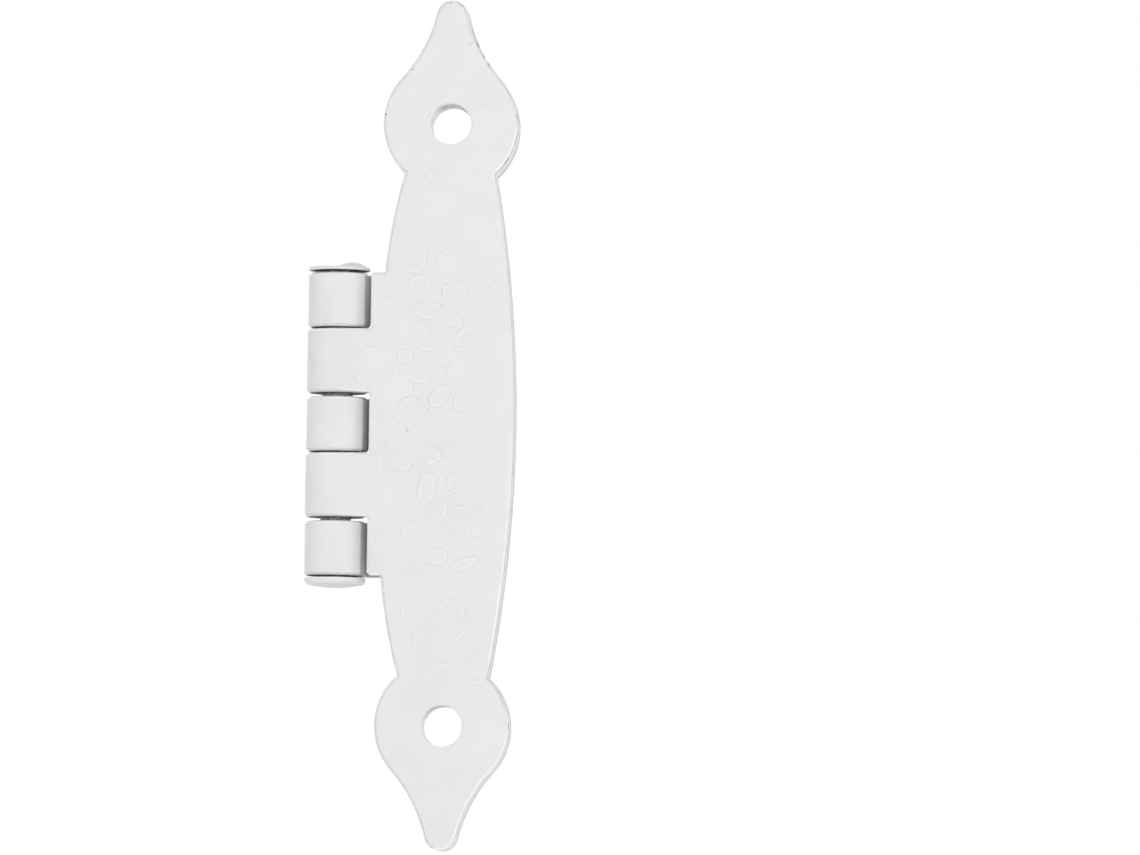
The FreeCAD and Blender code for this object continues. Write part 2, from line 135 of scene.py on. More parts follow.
# How well the paint covers, with painted shade and painted highlight in the same numbers: 0 is bare steel,
# 1 is plain paint and 2 is the painted highlight colour
# Painted shade: the knuckles' end faces between the knuckles darker than bare metal, and the bores and the
# pin's shank dark as bare metal with flecks of paint
GAP_SHADE = -0.3
BORE_STEEL_AND_SHADE = 0.4
# Painted shade on the undersides of the knuckles' rims
UNDER_RIM_SHADE = 0.9
# Painted highlight on the tops of the knuckles' rims, and painted light on the screw holes' walls
PAINTED_LIGHT_COVER = 2.0
SHEARED_COVER = 0.8
# Painted shade on the sheared walls, growing towards the inner face
SHEARED_SHADE_LOSS = 0.35
# Painted highlight on broken edges facing right and down
EDGE_HIGHLIGHT_GAIN = 0.8
# Painted shade on broken edges facing left, and on those facing up and right
LEFT_EDGE_SHADE_LOSS = 0.15
UPPER_EDGE_SHADE_LOSS = 0.2

# Where chipped paint begins and where the primer is all there, in a chip's reach plus its raggedness,
# and how deep a chip reaches on the sheared edge, as a share of its depth, and on the face
CHIP_EDGE = (1.65, 1.35)
CHIP_SHARE = 0.7
CHIP_REACH = 0.5 * MM

# Scale of the paint's clouds, of a chip's raggedness, of thin paint's mottle and of the paint's skin
CLOUD_SCALE = 260.0
CHIP_SCALE = 9000.0
MOTTLE_SCALE = 3500.0
SKIN_SCALE = 1400.0

# The stage: middle of the hinge, level and size of the floor, between which distances from its middle
# its glow grows, and how far from the hinge the softboxes stand
CENTRE = Vector((0.0, -3.2 * MM, 0.0))
FLOOR_LEVEL = -75 * MM
FLOOR_SIZE = 6.0
GLOW_REACH = (0.3, 1.0)
SOFTBOX_DISTANCE = 0.6

# Hammer marks on the visible face. Each row is a rounded outline or a stretch of one:
# centre across and down in pixels of the photograph, half width, half height, squareness,
# tilt, first and last angle in degrees anticlockwise from the right, and strength.
MARKS = [
    # Upper spear
    (478, 53, 11, 11, 2, 0, 92, 172, 1.0),
    (446, 48, 13, 13, 2, 0, 178, 258, 0.4),
    (460, 85, 18, 18, 2, 0, 50, 100, 0.35),
    (409, 97, 11, 11, 2, 0, 32, 92, 0.35),
    (444, 75, 20, 20, 2, 0, 248, 296, 0.7),
    (455, 134, 31, 31, 2, 0, 113, 154, 1.0),
    (480, 113, 6, 6, 2, 0, 20, 175, 0.55),
    (477, 108, 12, 12, 2, 0, 75, 120, 0.3),
    (409, 125, 10, 10, 2, 0, 212, 268, 0.6),
    (420, 148, 8, 8, 2, 0, 148, 215, 0.5),
    (428, 140, 20, 20, 2, 0, 255, 292, 0.4),
    (422, 176, 10, 10, 2, 0, -55, 88, 0.8),
    (456, 168, 9.5, 10.5, 2, 0, -20, 142, 0.6),
    (462, 169, 10, 10, 2, 0, -50, 42, 0.8),
    # Waist
    (418, 196, 10, 9, 2, 0, 190, 300, 0.45),
    (455, 199, 8, 8, 2, 0, -60, 72, 0.35),
    (487, 214, 11, 12, 2, 0, 168, 262, 0.5),
    (412, 208, 19, 19, 2, 0, 268, 332, 0.25),
    (402, 262, 25, 25, 2, 0, 72, 102, 0.6),
    (433, 270, 25, 25, 2, 0, 72, 102, 0.6),
    (474, 244, 8, 8, 2, 0, 140, 220, 0.3),
    (411, 256, 15.5, 16, 2, 0, -105, 40, 0.9),
    (449, 263, 12, 12, 2, 0, 108, 188, 0.7),
    (461, 268, 12, 12, 2, 0, 192, 272, 0.8),
    (474, 277, 14, 3.5, 3, 0, 215, 325, 0.3),
    (500, 292, 9.5, 10.5, 2, 0, 108, 192, 0.7),
    (386, 280, 9, 9, 2, 0, 48, 132, 0.35),
    # middle, above the centre
    (419.5, 286, 10.5, 10, 2, 0, -32, 176, 0.9),
    (454.5, 292, 12, 7.3, 3.4, 0, 0, 360, 0.6),
    (454.5, 292, 12, 7.3, 3.4, 0, 110, 240, 0.5),
    (474, 300, 6, 3, 2.5, 0, 0, 360, 0.2),
    (393, 304.5, 11, 7, 2.3, 8, 55, 290, 0.7),
    (430, 311, 15, 7.5, 2.2, 0, 35, 285, 0.8),
    (451, 322, 11.5, 4.2, 1.8, 10, -112, 78, 0.8),
    (417, 333, 12, 11, 2, 0, -2, 92, 0.9),
    (396.5, 329, 7, 3, 2, 0, 48, 132, 0.5),
    (464, 336.5, 11, 6, 2.2, 50, -30, 230, 0.8),
    (386, 333, 17, 17, 2, 0, -76, -12, 0.8),
    (388, 343, 9, 9, 2, 0, 158, 202, 0.4),
    (430, 341, 13, 9.5, 3, 0, 195, 290, 1.0),
    (405.3, 356.3, 7.5, 6, 2, 0, 0, 360, 0.85),
    (371, 356, 10.5, 8, 2.2, 0, 42, 195, 0.7),
    (449, 356, 6.5, 6.5, 2, 0, -5, 92, 0.7),
    (440, 355, 11, 11, 2, 0, -102, -28, 0.8),
    (455, 373, 8.5, 5.5, 1.5, 0, 108, 252, 0.9),
    (390, 370, 8.5, 8, 2, 0, -28, 118, 0.75),
    (419, 374.5, 11, 8, 2.8, 0, 165, 375, 0.9),
    (419, 374.5, 11, 8, 2.8, 0, 15, 165, 0.3),
    (479, 351, 6, 7.5, 3, 0, 178, 362, 0.45),
    (359.5, 378.5, 3, 3.4, 2, 0, 60, 300, 0.8),
    (400, 387, 12, 10, 2, 0, -86, 26, 0.8),
    (439.2, 396.2, 11.5, 7.5, 2.3, 50, 0, 360, 0.95),
    (463, 403, 9.5, 10.5, 2, 0, 108, 228, 1.0),
    (410, 407, 10.5, 9, 2.1, 20, -22, 240, 0.85),
    (384, 398, 3, 3.5, 3, 0, 0, 360, 0.25),
    (481.5, 391, 8, 8, 2.4, 0, 180, 360, 0.4),
    (454, 425, 16, 12, 2, 0, 48, 158, 0.65),
    (486, 413.5, 6, 6, 2, 0, 138, 222, 0.45),
    (384, 426, 12.5, 11, 2, 0, -2, 102, 0.9),
    (419, 421, 12, 10, 4.5, 0, 175, 282, 1.0),
    # middle, below the centre
    (398.3, 441.7, 10.5, 7, 2.6, 0, 0, 360, 0.7),
    (457, 420, 22, 21.5, 2, 0, 220, 282, 0.75),
    (428, 455.5, 13.5, 8, 1.7, 0, -140, 80, 1.0),
    (450, 455.8, 2.5, 2.5, 2, 0, 0, 360, 0.35),
    (467, 455, 5, 5.5, 3.5, 0, 0, 360, 0.2),
    (376, 462, 7, 9, 2.2, 0, -62, 62, 0.9),
    (376, 462, 7, 9, 2.2, 0, 62, 298, 0.3),
    (401, 463, 9.5, 6.5, 3.4, -10, 125, 400, 0.85),
    (426.7, 488.3, 8, 14.5, 2.6, -8, 0, 360, 0.95),
    (462, 483, 15, 10, 2.6, 0, 112, 266, 0.9),
    (462, 483, 15, 10, 2.6, 0, 266, 472, 0.3),
    (364, 499.5, 5.5, 4.5, 2, 0, 108, 244, 0.55),
    (394, 507, 8, 8, 2, 0, -40, 22, 0.35),
    (438, 509, 8.7, 8.7, 2, 0, -172, 62, 0.9),
    (463, 512, 8.5, 5.5, 4, 0, 48, 216, 0.8),
    (485, 508, 4.5, 3, 2, 55, 0, 360, 0.35),
    (415, 532, 12, 9.5, 2.1, 0, 58, 236, 0.85),
    (455, 550, 17, 15.5, 2, 0, 58, 142, 0.8),
    (448, 532, 5, 5, 2, 0, 88, 204, 0.3),
    (476.3, 531.7, 4.2, 5, 2.2, -20, 0, 360, 0.7),
    (383, 538, 6.5, 6.5, 2, 0, 28, 152, 0.6),
    (394, 562, 12, 12, 2, 0, 8, 62, 0.3),
    (434, 556, 13, 7.5, 3, 0, -132, 116, 0.85),
    (465, 563.7, 13, 4.5, 3, 22, 0, 360, 0.95),
    (436, 584, 9, 4.5, 2.6, 15, 0, 360, 0.35),
    (471, 585, 7, 8, 2, 0, 148, 216, 0.45),
    # lower waist and spear
    (414, 614, 13, 12, 2, 0, 112, 204, 0.85),
    (452, 609, 12, 8, 2.4, -25, -30, 204, 0.8),
    (452, 609, 12, 8, 2.4, -25, 204, 330, 0.4),
    (472, 612, 7, 7, 2, 0, -36, 26, 0.4),
    (426, 641, 12.5, 14, 2, 0, 122, 194, 0.8),
    (430, 602, 46, 46, 2, 0, -67, -39, 0.85),
    (439, 672, 15, 10, 2.3, 0, 0, 360, 0.25),
    (443, 673, 14, 10, 2, 0, 52, 124, 0.8),
    (475, 682, 2.5, 2.5, 2, 0, 0, 360, 0.8),
    (460, 696, 11, 11, 2, 0, -62, -18, 0.3),
    (468, 762, 14, 10, 2, 0, 150, 230, 0.15),
    (420, 762, 12, 9, 2, 0, -40, 50, 0.15),
]

# Where the paint is off: pixel across and down, half width, half height and depth behind the face
# in millimetres. Those at some depth show on the broken or the sheared edge alone.
CHIPS = [
    (413, 69, 0.09, 0.06, 0.0),
    (386, 114, 0.08, 0.11, 0.0),
    (450.5, 2.5, 0.14, 0.03, 0.0),
    (462, 5.5, 0.11, 0.022, 0.0),
    (475, 36, 0.07, 0.10, 0.0),
    (441.6, 305.8, 0.065, 0.055, 0.0),
    (428, 409, 0.045, 0.035, 0.0),
    (496, 230, 0.04, 0.03, 0.0),
    (407, 431, 0.05, 0.06, 0.0),
    (506, 551, 0.08, 0.12, 0.0),
    (502, 570, 0.05, 0.06, 0.0),
    (473.5, 31, 0.20, 0.35, 0.3),
    (478.5, 43, 0.26, 0.70, 0.3),
    (484, 55, 0.24, 0.60, 0.3),
    (489, 64, 0.18, 0.30, 0.3),
    (517.5, 116, 0.16, 0.60, 0.3),
    (517, 142, 0.30, 0.90, 0.95),
    (506, 160, 0.45, 0.45, 0.95),
    (493, 646, 0.40, 0.45, 0.95),
    (489, 667, 0.40, 0.35, 0.95),
    (509, 725, 0.40, 0.40, 0.95),
]


# The space between the leaves beside the knuckles, darkened to bare metal's colour as painted shade: axis,
# where the paint colour is still all there and where it is gone, in millimetres
NOTCH_SHADE_EDGES = (
    ("X", -8.5, -8.2),
    ("X", -6.4, -7.6),
    ("Y", -5.1, -4.1),
    ("Y", -1.2, -1.7),
    ("Z", 16.4, 15.8),
    ("Z", -16.4, -15.8),
)


# The softboxes: name, degrees to the right of straight ahead, degrees up, width and height in metres,
# and share of the main one's power
SOFTBOXES = (
    ("softbox_main", 26, 4, 0.10, 0.15, 1.0),
    ("softbox_top", 5, 70, 0.3, 0.3, 0.25),
    ("softbox_right", 64, 6, 0.15, 0.3, 0.13),
    ("softbox_left", -55, 10, 0.3, 0.4, 0.21),
    ("softbox_side", -85, 10, 0.3, 0.4, 0.54),
    ("softbox_back_left", -150, 25, 0.4, 0.4, 0.7),
    ("softbox_back_right", 155, 25, 0.4, 0.4, 0.7),
)


class LeafSizes(bpy.types.PropertyGroup):
    """Sizes of the hammered relief on the leaves."""
    lip_height: FloatProperty(
        name="Lip height", description="How far the rim of a hammer mark stands up",
        default=0.020 * MM, unit="LENGTH", precision=6)
    groove_depth: FloatProperty(
        name="Groove depth", description="How deep the line outside the rim of a mark is",
        default=0.023 * MM, unit="LENGTH", precision=6)
    rim_width: FloatProperty(
        name="Rim width", description="Width of the rim of a mark, and of the groove beside it",
        default=0.08 * MM, unit="LENGTH", precision=6)
    recess: FloatProperty(
        name="Recess", description="How far the hammered face lies below the rolled knuckles",
        default=0.03 * MM, unit="LENGTH", precision=6)
    broken_edge: FloatProperty(
        name="Broken edge", description="Size of the broken edges of the bare leaves",
        default=0.3 * MM, unit="LENGTH", precision=6)
    painted_edge: FloatProperty(
        name="Painted edge", description="How deep the outer face's broken edge is once it is painted",
        default=0.14 * MM, unit="LENGTH", precision=6)
    grid_pitch: FloatProperty(
        name="Grid pitch", description="Distance between the points of the face away from the marks",
        default=0.36 * MM, unit="LENGTH", precision=6)


class PaintColours(bpy.types.PropertyGroup):
    """Colours of the paint and of what shows through it, and of its painted shade and painted highlights.
    """
    paint: FloatVectorProperty(
        name="Paint", description="White paint on the leaves and the pin",
        default=(0.83, 0.83, 0.825), subtype="COLOR", min=0.0, max=1.0)
    # Painted shade: darker paint in the grooves round the hammer marks
    crease_shade: FloatVectorProperty(
        name="Crease", description="Paint in the grooves round the hammer marks",
        default=(0.75, 0.75, 0.745), subtype="COLOR", min=0.0, max=1.0)
    # Painted highlight: lighter paint on the raised rims of the hammer marks
    rim: FloatVectorProperty(
        name="Rim", description="Paint on the raised rims of the hammer marks",
        default=(0.9, 0.9, 0.895), subtype="COLOR", min=0.0, max=1.0)
    # Painted highlight colour on the knuckles' upward rims and on broken edges facing right and down, and
    # painted light on the screw holes' walls
    edge: FloatVectorProperty(
        name="Edge", description="Thick paint along the edges of the front leaf that face down",
        default=(0.95, 0.95, 0.945), subtype="COLOR", min=0.0, max=1.0)
    # Bare metal's colour, put as painted shade in the gaps between the knuckles, in the bores, in the
    # notches beside the knuckles and on the sheared walls
    steel_and_shade: FloatVectorProperty(
        name="Bare steel", description="Steel in the gaps that the paint didn't reach",
        default=(0.035, 0.034, 0.033), subtype="COLOR", min=0.0, max=1.0)
    primer: FloatVectorProperty(
        name="Primer", description="What shows where the paint is chipped",
        default=(0.07, 0.065, 0.06), subtype="COLOR", min=0.0, max=1.0)
    floor: FloatVectorProperty(
        name="Floor", description="Pale floor below the hinge",
        default=(0.9, 0.9, 0.9), subtype="COLOR", min=0.0, max=1.0)


class StageSettings(bpy.types.PropertyGroup):
    """Camera and lights."""
    distance: FloatProperty(
        name="Camera distance", description="From the camera to the middle of the hinge",
        default=1.0, unit="LENGTH")
    azimuth: FloatProperty(
        name="Camera azimuth", description="How far to the right of straight ahead the camera stands",
        default=math.radians(3.4), subtype="ANGLE")
    elevation: FloatProperty(
        name="Camera elevation", description="How far above the level of the hinge the camera stands",
        default=math.radians(-3.5), subtype="ANGLE")
    roll: FloatProperty(
        name="Camera roll", description="Lean of the hinge in the picture",
        default=math.radians(0.915), subtype="ANGLE")
    ambient: FloatProperty(
        name="Ambient light", description="Strength of the even light from all round",
        default=0.288, min=0.0)
    floor_glow: FloatProperty(
        name="Floor glow", description="Light that the floor adds where it is looked at, near the hinge",
        default=0.2, min=0.0)
    far_glow: FloatProperty(
        name="Far floor glow", description="The same, far from the hinge",
        default=0.6, min=0.0)
    softbox_power: FloatProperty(
        name="Softbox power", description="Power of the main softbox, which the others follow",
        default=1.51, min=0.0, unit="POWER")


def photo_point(across, down):
    """Where a pixel of the photograph lies on the front face, in metres along x and z."""
    middle, level = FACE_MIDDLE
    x = across - middle - (HINGE_PIXEL[1] - down) * LEAN
    z = level - down + LEAN * (across - middle)
    return x * MM / PIXELS_PER_MM, z * MM / PIXELS_PER_MM


def smooth_step(low, high, value):
    """Goes gently from 0 at low to 1 at high."""
    share = np.clip((value - low) / (high - low), 0.0, 1.0)
    return share * share * (3.0 - 2.0 * share)


def mark_fields(x, z, mark, turn_x, turn_z):
    """Signed distance from a mark's outline, positive inside, and how much of the outline is there."""
    across, down, half_width, half_height, power, tilt, start, end, strength = mark
    centre_x, centre_z = photo_point(across, down)
    pixel = MM / PIXELS_PER_MM
    half_width, half_height = half_width * pixel, half_height * pixel
    away_x, away_z = turn_x * x - centre_x, turn_z * z - centre_z
    turn = math.radians(tilt)
    along = (away_x * math.cos(turn) + away_z * math.sin(turn)) / half_width
    up = (away_z * math.cos(turn) - away_x * math.sin(turn)) / half_height
    size_along, size_up = np.abs(along) + TINY, np.abs(up) + TINY
    reach = (size_along ** power + size_up ** power) ** (1.0 / power)
    slope = reach ** (1.0 - power) * np.hypot(size_along ** (power - 1.0) / half_width,
                                              size_up ** (power - 1.0) / half_height)
    distance = (1.0 - reach) / np.maximum(slope, 1.0)
    if end - start >= 360:
        return distance, np.full_like(distance, strength)
    angle = np.degrees(np.arctan2(up, along))
    span = end - start
    from_middle = np.abs((angle - (start + end) / 2 + 180.0) % 360.0 - 180.0)
    taper = math.degrees(MARK_TAPER / (0.5 * (half_width + half_height)))
    present = 1.0 - smooth_step(span / 2 - taper, span / 2 + 0.3 * taper, from_middle)
    return distance, strength * present


def marks_near(x, z, turn_x, turn_z, margin):
    """For each mark with points near it: which points, how far inside its outline, and its presence."""
    for mark in MARKS:
        centre_x, centre_z = photo_point(mark[0], mark[1])
        reach = 1.5 * max(mark[2], mark[3]) * MM / PIXELS_PER_MM + margin
        beside = np.abs(turn_x * x - centre_x) < reach
        level = np.abs(turn_z * z - centre_z) < reach
        close = np.nonzero(beside & level)[0]
        if len(close):
            yield close, *mark_fields(x[close], z[close], mark, turn_x, turn_z)


def unevenness(x, z):
    """Slow waves that make the rim of a hammer mark stronger in one place and fainter in another."""
    wave = math.tau / WAVE_LENGTH
    return 1.0 + WAVE_STRENGTH * np.sin(wave * (x + 0.6 * z)) * np.sin(wave * (0.8 * z - 0.5 * x) + 1.0)


def relief(x, z, turn_x, turn_z):
    """Height of the hammered pattern, and the tone of its rims for painted shade and painted highlight:
    -1, painted shade in a groove, and 1, painted highlight on a lip.
    """
    sizes = bpy.context.scene.hinge_leaf
    height = np.zeros_like(x)
    tone = np.zeros_like(x)
    width = sizes.rim_width
    for close, distance, present in marks_near(x, z, turn_x, turn_z, RELIEF_RIMS * width):
        lip = np.exp(-((distance - width) / width) ** 2) * present
        groove = np.exp(-((distance + width) / width) ** 2) * present
        height[close] += sizes.lip_height * lip - sizes.groove_depth * groove
        tone[close] += lip - groove
    waves = unevenness(turn_x * x, turn_z * z)
    return height * waves, np.clip(tone * waves, -1.0, 1.0)


def refine(mesh, turn_x, turn_z, margin):
    """Halves the faces within a margin of a mark's outline."""
    centres = np.empty(len(mesh.polygons) * 3)
    mesh.polygons.foreach_get("center", centres)
    centres = centres.reshape(-1, 3)
    near = np.zeros(len(centres), dtype=bool)
    for close, distance, present in marks_near(centres[:, 0], centres[:, 2], turn_x, turn_z, margin):
        near[close[(present > 0.05) & (np.abs(distance) < margin)]] = True
    mesh.vertices.foreach_set("select", np.zeros(len(mesh.vertices), dtype=bool))
    mesh.edges.foreach_set("select", np.zeros(len(mesh.edges), dtype=bool))
    mesh.polygons.foreach_set("select", near)
    bpy.ops.object.mode_set(mode="EDIT")
    bpy.ops.mesh.select_mode(type="FACE")
    bpy.ops.mesh.subdivide(number_cuts=1)
    bpy.ops.object.mode_set(mode="OBJECT")


def direction(azimuth, elevation):
    """Unit vector towards a place to the right of straight ahead and above the level of the hinge."""
    return Vector((math.sin(azimuth) * math.cos(elevation),
                   -math.cos(azimuth) * math.cos(elevation),
                   math.sin(elevation)))


def select_only(piece):
    """Makes a piece the only selected and the active one."""
    bpy.ops.object.select_all(action="DESELECT")
    piece.select_set(True)
    bpy.context.view_layer.objects.active = piece


def copy_of_node(node, name):
    """A piece of its own with the merged mesh of a CAD node."""
    piece = bpy.data.objects.new(name, frame["nodes"][node].data.copy())
    piece.data.name = name
    bpy.context.scene.collection.objects.link(piece)
    select_only(piece)
    bpy.ops.object.mode_set(mode="EDIT")
    bpy.ops.mesh.select_all(action="SELECT")
    bpy.ops.mesh.remove_doubles(threshold=MERGE_DISTANCE)
    bpy.ops.mesh.customdata_custom_splitnormals_clear()
    bpy.ops.object.mode_set(mode="OBJECT")
    return piece


def coordinates(mesh):
    """The mesh's points as an array of rows."""
    flat = np.empty(len(mesh.vertices) * 3)
    mesh.vertices.foreach_get("co", flat)
    return flat.reshape(-1, 3)


def fill_edges(piece, outer_y, outward):
    """Makes the broken edge round the outer face shallower, as thick paint leaves it."""
    sizes = bpy.context.scene.hinge_leaf
    low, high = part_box("hinge_pin")
    flat_x = (low.x + high.x) / 2 + FLAT_FROM
    points = coordinates(piece.data)
    depth = outward * (outer_y - points[:, 1])
    ring = (np.abs(depth - sizes.broken_edge) < RING_SLACK) & (points[:, 0] > flat_x)
    points[ring, 1] = outer_y - outward * sizes.painted_edge
    piece.data.vertices.foreach_set("co", points.ravel())
    piece.data.update()


def hammer_cutter(name, face_y, outward, start, x_high, z_reach, turn_x, turn_z):
    """A slab whose inner side is the hammered face, to be cut from a leaf."""
    sizes = bpy.context.scene.hinge_leaf
    x_low, fade_low, fade_high = start
    width, height = x_high - x_low, 2 * z_reach
    bpy.ops.object.select_all(action="DESELECT")
    bpy.ops.mesh.primitive_grid_add(
        x_subdivisions=round(width / sizes.grid_pitch), y_subdivisions=round(height / sizes.grid_pitch),
        size=1.0, location=((x_low + x_high) / 2, face_y, 0.0), rotation=(math.pi / 2, 0.0, 0.0))
    cutter = bpy.context.object
    cutter.name = name
    cutter.scale = (width, height, 1.0)
    bpy.ops.object.transform_apply(location=True, rotation=True, scale=True)

    # Finer faces only round the marks
    mesh = cutter.data
    for cell in (sizes.grid_pitch, sizes.grid_pitch / 2):
        refine(mesh, turn_x, turn_z, FINE_RIMS * sizes.rim_width + FINE_FACES * cell)

    points = coordinates(mesh)
    x, z = points[:, 0], points[:, 2]
    height = relief(x, z, turn_x, turn_z)[0]
    share = smooth_step(fade_low, fade_high, x)
    fall = (CUTTER_START + sizes.recess) * share
    level = CUTTER_START - fall + np.minimum(height, sizes.lip_height * LIP_MOST) * share
    level = np.where(share > NEARLY_ALL, np.minimum(level, -CUTTER_LEAST), level)
    points[:, 1] = face_y + outward * level
    mesh.vertices.foreach_set("co", points.ravel())
    bpy.ops.object.mode_set(mode="EDIT")
    bpy.ops.mesh.select_all(action="SELECT")
    bpy.ops.mesh.extrude_region_move(TRANSFORM_OT_translate={"value": (0.0, outward * MM, 0.0)})
    bpy.ops.mesh.select_all(action="SELECT")
    bpy.ops.mesh.normals_make_consistent(inside=False)
    bpy.ops.object.mode_set(mode="OBJECT")
    return cutter


def cut(piece, cutter):
    """Takes the cutter away from the piece and deletes the cutter."""
    before = len(piece.data.polygons)
    select_only(piece)
    modifier = piece.modifiers.new("Cut", "BOOLEAN")
    modifier.operation = "DIFFERENCE"
    modifier.solver = "MANIFOLD"
    modifier.object = cutter
    bpy.ops.object.modifier_apply(modifier=modifier.name)
    bpy.data.objects.remove(cutter)
    if len(piece.data.polygons) < before + LEAST_NEW_FACES:
        raise RuntimeError("hammered face not cut in " + piece.name)


def store_rim_shading(piece, faces):
    """Keeps the tone of the hammer marks' rims as an attribute, for the paint's painted shade in the
    grooves and painted highlight on the lips.
    """
    mesh = piece.data
    points = coordinates(mesh)
    tone = np.zeros(len(points))
    slack = 0.2 * MM
    for face_y, x_low, turn_x, turn_z in faces:
        here = np.nonzero((np.abs(points[:, 1] - face_y) < slack) & (points[:, 0] > x_low))[0]
        tone[here] = relief(points[here, 0], points[here, 2], turn_x, turn_z)[1]
    layer = mesh.attributes.new("rim_shade_highlight", "FLOAT", "POINT")
    layer.data.foreach_set("value", tone.astype(np.float32))


def store_cover_and_light(piece, sheet_faces):
    """Keeps how well the paint covers each face, with painted shade and painted highlight in it: thin
    paint on the sheared edges with painted shade growing towards the inner face, no paint colour between
    the knuckles and little in the bores as painted shade, painted shade under the knuckles' rims and on
    broken edges facing left and on those facing up and right, and over 1 as painted highlight on the rims'
    tops, the screw holes' walls and broken edges facing right and down."""
    mesh = piece.data
    low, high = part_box("hinge_pin")
    axis_x, axis_y = (low.x + high.x) / 2, (low.y + high.y) / 2
    screws = frame["record"]["mounts"][0]["dims"]
    screw_height = screws["spacing_y_mm"] / 2 * MM
    screw_reach = screws["hole_r_mm"] * MM + HOLE_RIM
    rim_inside, rim_outside = RIM_REACH
    cover_and_painted_light = np.ones(len(mesh.loops))
    for face in mesh.polygons:
        centre, normal = face.center, face.normal
        corners = slice(face.loop_start, face.loop_start + face.loop_total)
        reach = math.hypot(centre.x - axis_x, centre.y - axis_y)
        in_row = abs(centre.z) < ROW_HALF
        by_screw = math.hypot(centre.x, abs(centre.z) - screw_height) < screw_reach
        wall = abs(normal.y) < WALL_MOST
        # Painted shade on the knuckles' end faces between the knuckles and in the bores
        if in_row and abs(normal.z) > LEVEL_LEAST and reach < rim_outside:
            cover_and_painted_light[corners] = GAP_SHADE
        # Painted highlight on the upward faces of the knuckles' rims, painted shade on the downward ones
        elif in_row and rim_inside < reach < rim_outside and abs(normal.z) > RIM_LEAST:
            cover_and_painted_light[corners] = PAINTED_LIGHT_COVER if normal.z > 0 else UNDER_RIM_SHADE
        elif in_row and reach < BORE_REACH:
            cover_and_painted_light[corners] = BORE_STEEL_AND_SHADE
        elif not sheet_faces or reach < ROLL_REACH:
            continue
        # Painted light on the screw holes' walls
        elif by_screw and wall:
            cover_and_painted_light[corners] = PAINTED_LIGHT_COVER
        # Thin paint on the sheared walls, with painted shade growing towards the inner face
        elif wall:
            outer_y, inner_y = sheet_faces
            for corner in face.loop_indices:
                y = mesh.vertices[mesh.loops[corner].vertex_index].co.y
                depth = min(1.0, max(0.0, (y - outer_y) / (inner_y - outer_y)))
                cover_and_painted_light[corner] = SHEARED_COVER - SHEARED_SHADE_LOSS * depth
        elif by_screw:
            continue
        elif abs(normal.y) < BROKEN_MOST and abs(centre.y - sheet_faces[0]) < BROKEN_REACH:
            in_notch = in_row and centre.x < NOTCH_END
            # Painted highlight on broken edges facing right and down
            edge_highlight = smooth_step(0.4, 0.5, normal.x - 1.5 * normal.z)
            # Painted shade on broken edges facing left, and on those facing up and right
            left_edge_shade = 0.0 if in_notch else smooth_step(0.1, -0.2, normal.x)
            upper_edge_shade = smooth_step(0.05, 0.2, normal.z) * smooth_step(0.05, 0.2, normal.x)
            cover_and_painted_light[corners] = 1.0 + EDGE_HIGHLIGHT_GAIN * edge_highlight - LEFT_EDGE_SHADE_LOSS * left_edge_shade - UPPER_EDGE_SHADE_LOSS * upper_edge_shade
    layer = mesh.attributes.new("cover_and_painted_light", "FLOAT", "CORNER")
    layer.data.foreach_set("value", cover_and_painted_light.astype(np.float32))


def smooth(piece):
    """Smooth shading but over sharp edges, with the big faces leading."""
    select_only(piece)
    bpy.ops.object.shade_smooth_by_angle(angle=math.radians(SMOOTH_ANGLE))
    modifier = piece.modifiers.new("Normals", "WEIGHTED_NORMAL")
    modifier.keep_sharp = True
    modifier.weight = 50
    bpy.ops.object.modifier_apply(modifier=modifier.name)


def node(tree, kind, place, **values):
    """A shader node at a place, with its settings."""
    made = tree.nodes.new(kind)
    made.location = place
    for key, value in values.items():
        setattr(made, key, value)
    return made


def put(tree, socket, value):
    """Links a value to a socket, or sets the socket to a number or a colour."""
    if isinstance(value, bpy.types.NodeSocket):
        tree.links.new(value, socket)
    else:
        socket.default_value = value


def reckon(tree, place, operation, *values, **settings):
    """A sum, a product or the like of sockets and numbers."""
    made = node(tree, "ShaderNodeMath", place, operation=operation, **settings)
    for socket, value in zip(made.inputs, values):
        put(tree, socket, value)
    return made.outputs["Value"]


def ranged(tree, place, value, low, high, bottom=0.0, top=1.0, **settings):
    """A value that runs from low to high, brought to the range from bottom to top."""
    made = node(tree, "ShaderNodeMapRange", place, **settings)
    for name, number in (("From Min", low), ("From Max", high), ("To Min", bottom), ("To Max", top)):
        made.inputs[name].default_value = number
    put(tree, made.inputs["Value"], value)
    return made.outputs["Result"]


def speckle(tree, place, surface, scale, detail):
    """Noise on the surface."""
    made = node(tree, "ShaderNodeTexNoise", place)
    made.inputs["Scale"].default_value = scale
    made.inputs["Detail"].default_value = detail
    put(tree, made.inputs["Vector"], surface)
    return made.outputs["Fac"]


def blended(tree, place, share, first, second):
    """One colour that goes over into another."""
    made = node(tree, "ShaderNodeMix", place, data_type="RGBA")
    put(tree, made.inputs["Factor"], share)
    put(tree, made.inputs[6], first)
    put(tree, made.inputs[7], second)
    return made.outputs[2]


def looked_at(tree):
    """1 where the camera looks, straight or through a shine or glass, and 0 elsewhere."""
    path = node(tree, "ShaderNodeLightPath", (-800, 0)).outputs
    seen = reckon(tree, (-600, 0), "MAXIMUM", path["Is Camera Ray"], path["Is Glossy Ray"])
    return reckon(tree, (-450, 0), "MAXIMUM", seen, path["Is Transmission Ray"])


